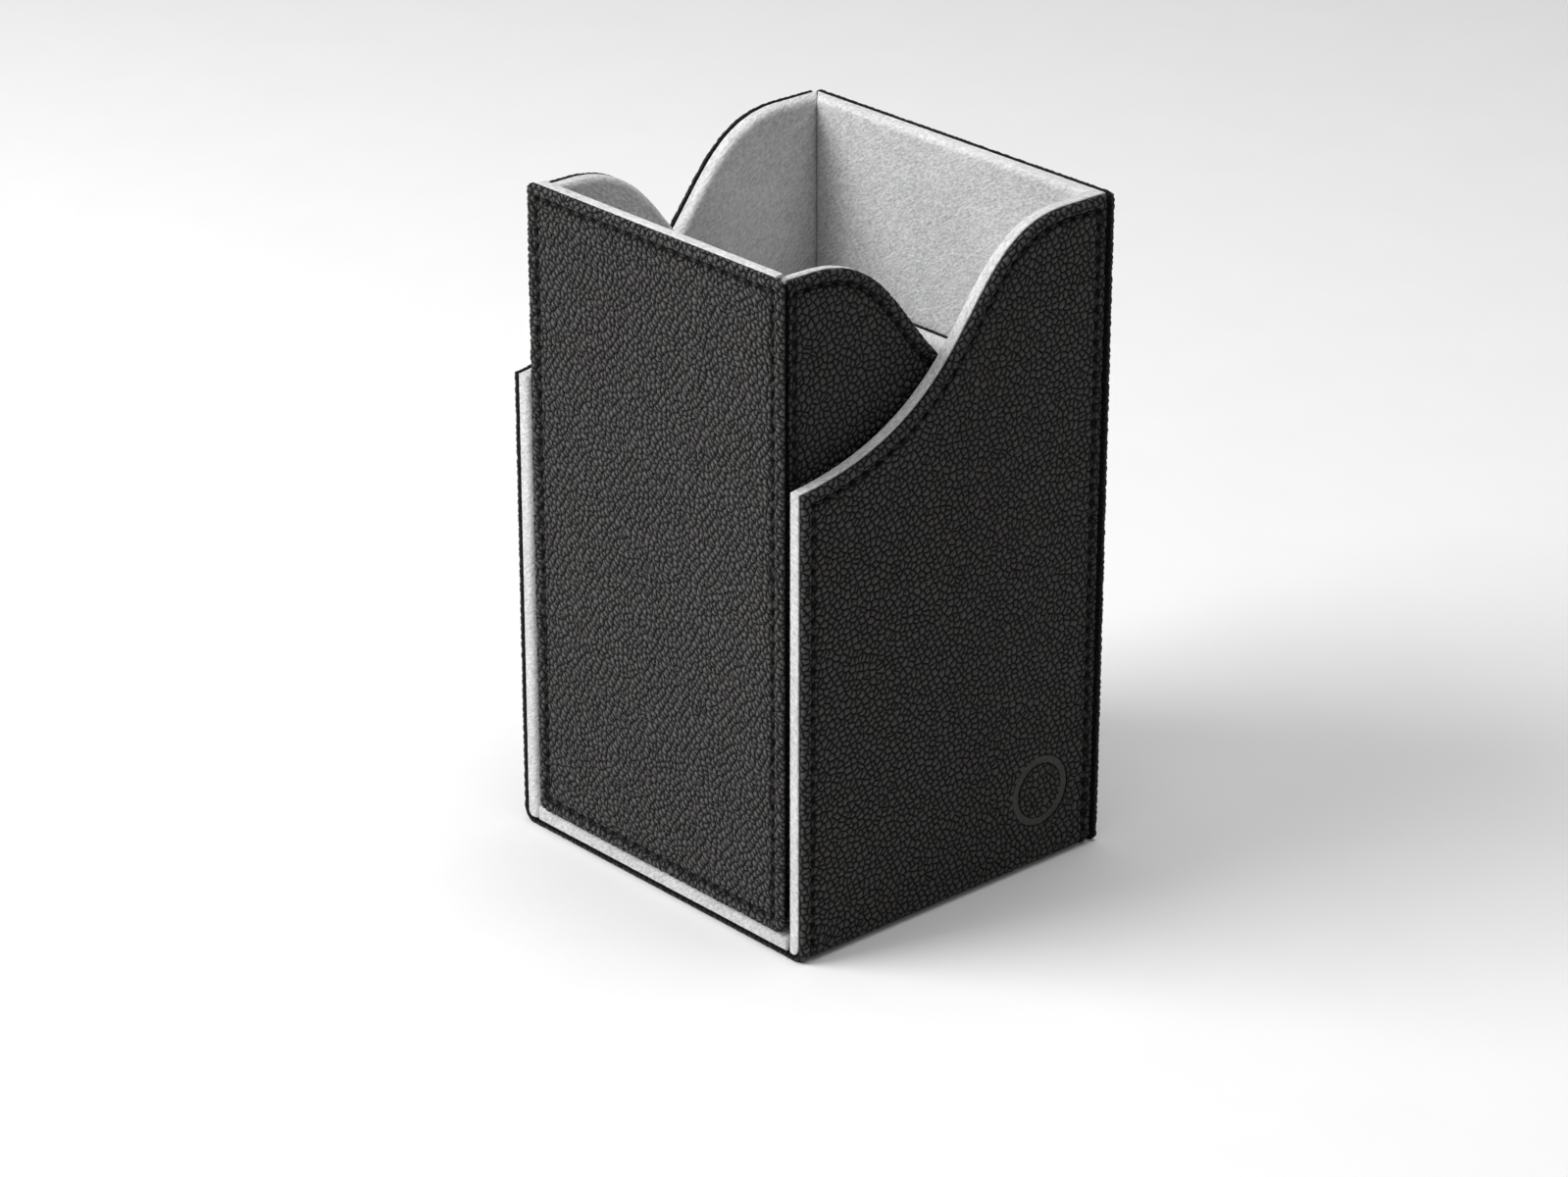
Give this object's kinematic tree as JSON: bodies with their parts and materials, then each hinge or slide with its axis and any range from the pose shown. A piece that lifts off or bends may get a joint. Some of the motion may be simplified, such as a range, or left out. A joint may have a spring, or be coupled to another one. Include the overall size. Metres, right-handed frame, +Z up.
{
  "type": "nesting deck and dice box",
  "caption": "Two-part nesting box for a card deck and dice: stiff leatherette shell with S-curved sides, pale lining and a lift-out inner box with a tall front.",
  "frame": {"origin": "bottom centre of the whole object, on the surface that it stands on", "axes": "+Z up; -Y out of the front, which is the inner box's tall panel; +X to the right seen from the front"},
  "size_m": [0.088, 0.0842, 0.1446],
  "materials": {
    "leatherette": "pebble-grained, low sheen",
    "board": "raw greyboard",
    "microfibre": "short brushed nap, matt",
    "magnet": "nickel plated",
    "thread": "waxed black thread"
  },
  "bodies": {
    "outer_shell": {"outer_wrap": "leatherette", "outer_back_cover": "leatherette", "outer_left_board": "board", "outer_right_board": "board", "outer_floor_board": "board", "outer_back_board": "board", "outer_left_lining": "microfibre", "outer_right_lining": "microfibre", "outer_floor_lining": "microfibre", "outer_back_lining": "microfibre", "outer_left_magnet": "magnet", "outer_right_magnet": "magnet", "outer_left_stitching": "thread", "outer_right_stitching": "thread", "outer_back_stitching": "thread"},
    "inner_box": {"inner_wrap": "leatherette", "inner_front_cover": "leatherette", "inner_back_cover": "leatherette", "inner_left_board": "board", "inner_right_board": "board", "inner_floor_board": "board", "inner_front_board": "board", "inner_back_board": "board", "inner_left_lining": "microfibre", "inner_right_lining": "microfibre", "inner_floor_lining": "microfibre", "inner_front_lining": "microfibre", "inner_back_lining": "microfibre", "inner_left_magnet": "magnet", "inner_right_magnet": "magnet", "inner_left_stitching": "thread", "inner_right_stitching": "thread", "inner_front_stitching": "thread", "inner_back_stitching": "thread"}
  },
  "joints": [
    {"name": "inner_lift", "type": "slide", "parent": "outer_shell", "child": "inner_box", "axis": [0, 0, 1], "range_m": [0, 0.145]}
  ]
}
